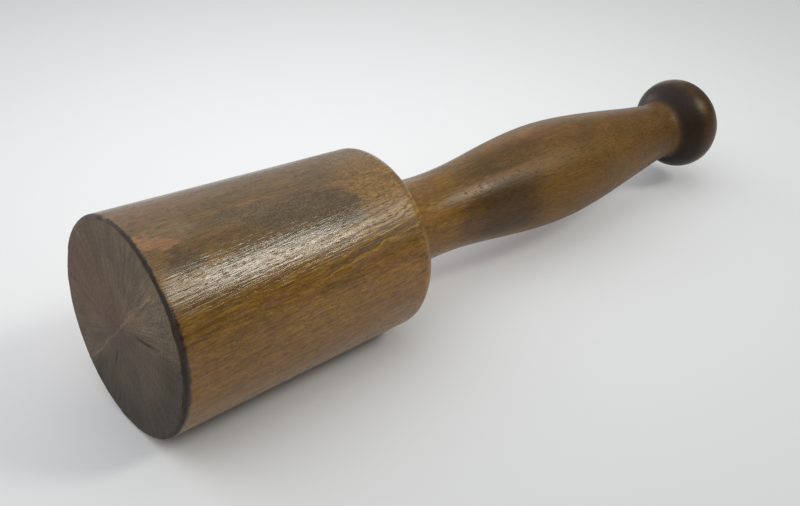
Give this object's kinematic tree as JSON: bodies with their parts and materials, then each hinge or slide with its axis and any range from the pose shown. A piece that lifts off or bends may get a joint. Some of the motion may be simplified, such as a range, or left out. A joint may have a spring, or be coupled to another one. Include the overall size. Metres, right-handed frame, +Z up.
{
  "type": "sculptor's round mallet",
  "caption": "Turned hardwood carving mallet: a heavy tapered round head for striking gouges and chisels, on a swelled handle with a ball-shaped knob.",
  "frame": {"origin": "middle of the bounding box, on the floor the mallet lies on", "axes": "+Z up, the mallet lies on the sloping side of its head with its axis in the XZ plane, the striking end towards -X and the knob towards +X"},
  "size_m": [0.267, 0.0698, 0.0698],
  "materials": {
    "head_wood": "brown stain under satin varnish, open grain along the axis, grey-brown end grain on the striking end",
    "handle_wood": "brown stain under satin varnish, darker on the knob",
    "wedge_wood": "bare sawn hardwood"
  },
  "bodies": {
    "root": {"head": "head_wood", "handle": "handle_wood", "fox_wedge": "wedge_wood"}
  },
  "joints": []
}
